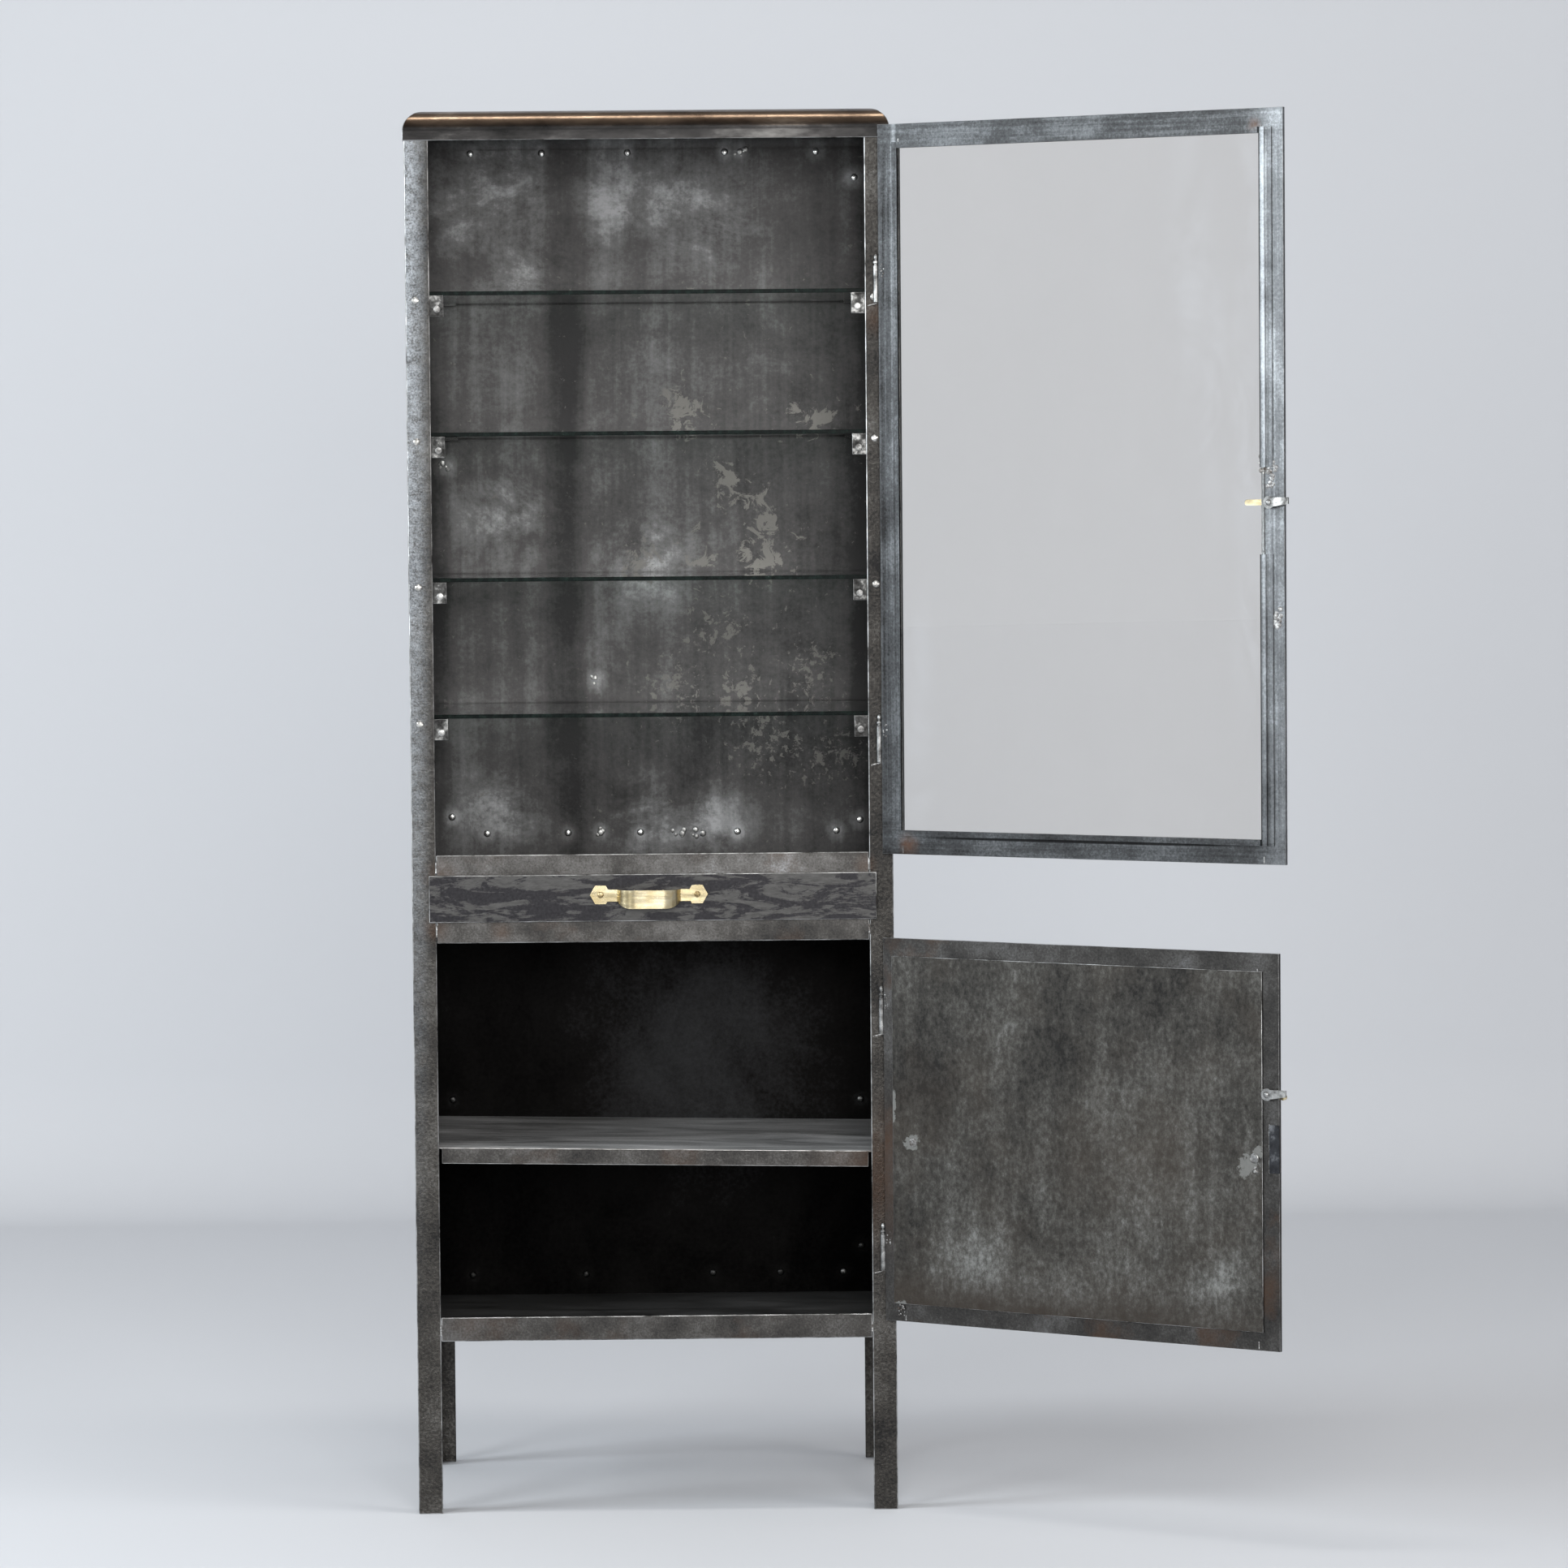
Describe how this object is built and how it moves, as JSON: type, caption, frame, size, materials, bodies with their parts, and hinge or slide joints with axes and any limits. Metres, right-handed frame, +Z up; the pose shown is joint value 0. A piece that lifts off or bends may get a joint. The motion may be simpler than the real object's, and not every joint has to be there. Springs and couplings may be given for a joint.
{
  "type": "medical cabinet",
  "caption": "Tall steel medical cabinet on four legs: glazed upper door over glass shelves, one drawer with a strap pull, and a sheet-steel door below.",
  "frame": {"origin": "middle of the frame's footprint on the floor, with both doors standing open", "axes": "+Z up, front faces -Y, +X to the right as seen from the front"},
  "size_m": [1.0668, 0.7363, 1.75],
  "materials": {
    "frame_steel": "bare dark steel, polished and lacquered, with bright worn edges",
    "sheet_steel": "bare dark sheet with cloudy grinding marks and stains",
    "cap_sheet": "brown patina, satin",
    "bright_steel": "bright plated steel",
    "brass": "worn polished brass",
    "glass": "clear float glass with green edges"
  },
  "bodies": {
    "cabinet": {"post_front_left": "frame_steel", "post_front_right": "frame_steel", "post_rear_right": "frame_steel", "post_rear_left": "frame_steel", "front_bottom_rail": "frame_steel", "rear_bottom_rail": "frame_steel", "left_bottom_rail": "frame_steel", "right_bottom_rail": "frame_steel", "front_mid_rail": "frame_steel", "rear_mid_rail": "frame_steel", "left_mid_rail": "frame_steel", "right_mid_rail": "frame_steel", "front_drawer_rail": "frame_steel", "left_panel_lower": "sheet_steel", "right_panel_lower": "sheet_steel", "back_panel_lower": "sheet_steel", "left_panel_upper": "sheet_steel", "right_panel_upper": "sheet_steel", "back_panel_upper": "sheet_steel", "lower_floor": "sheet_steel", "upper_floor": "sheet_steel", "top_cap": "cap_sheet", "glass_shelf_1": "glass", "glass_shelf_2": "glass", "glass_shelf_3": "glass", "glass_shelf_4": "glass", "shelf_clip_1_left": "bright_steel", "shelf_clip_1_right": "bright_steel", "shelf_clip_2_left": "bright_steel", "shelf_clip_2_right": "bright_steel", "shelf_clip_3_left": "bright_steel", "shelf_clip_3_right": "bright_steel", "shelf_clip_4_left": "bright_steel", "shelf_clip_4_right": "bright_steel", "steel_shelf": "frame_steel", "shelf_bearer_left": "frame_steel", "shelf_bearer_right": "frame_steel", "drawer_runner_left": "frame_steel", "drawer_runner_right": "frame_steel", "upper_door_hinge_pin_bottom": "bright_steel", "upper_door_hinge_pin_top": "bright_steel", "lower_door_hinge_pin_bottom": "bright_steel", "lower_door_hinge_pin_top": "bright_steel"},
    "upper_door": {"upper_door_frame": "frame_steel", "upper_door_pane": "glass", "upper_door_bead": "frame_steel", "upper_door_hinge_sleeve_bottom": "bright_steel", "upper_door_hinge_sleeve_top": "bright_steel"},
    "lower_door": {"lower_door_frame": "frame_steel", "lower_door_panel": "sheet_steel", "lower_door_hinge_sleeve_bottom": "bright_steel", "lower_door_hinge_sleeve_top": "bright_steel"},
    "drawer": {"drawer_tray": "sheet_steel", "drawer_front": "sheet_steel", "drawer_pull": "brass"},
    "upper_latch": {"upper_door_latch_lever": "brass", "upper_door_latch_tongue": "bright_steel"},
    "lower_latch": {"lower_door_latch_lever": "brass", "lower_door_latch_tongue": "bright_steel"}
  },
  "joints": [
    {"name": "upper_door_swing", "type": "hinge", "parent": "cabinet", "child": "upper_door", "pos_m": [0.284, -0.2043, 1.2], "axis": [0, 0, 1], "range_deg": [-148, 22]},
    {"name": "lower_door_swing", "type": "hinge", "parent": "cabinet", "child": "lower_door", "pos_m": [0.284, -0.2043, 0.48], "axis": [0, 0, 1], "range_deg": [-146, 24]},
    {"name": "drawer_slide", "type": "slide", "parent": "cabinet", "child": "drawer", "axis": [0, -1, 0], "range_m": [0, 0.28]},
    {"name": "upper_latch_turn", "type": "hinge", "parent": "upper_door", "child": "upper_latch", "pos_m": [0.74703, -0.49364, 1.258], "axis": [-0.5299, -0.848, 0], "range_deg": [0, 90]},
    {"name": "lower_latch_turn", "type": "hinge", "parent": "lower_door", "child": "lower_latch", "pos_m": [0.73997, -0.51186, 0.55], "axis": [-0.5592, -0.829, 0], "range_deg": [-90, 0]}
  ]
}
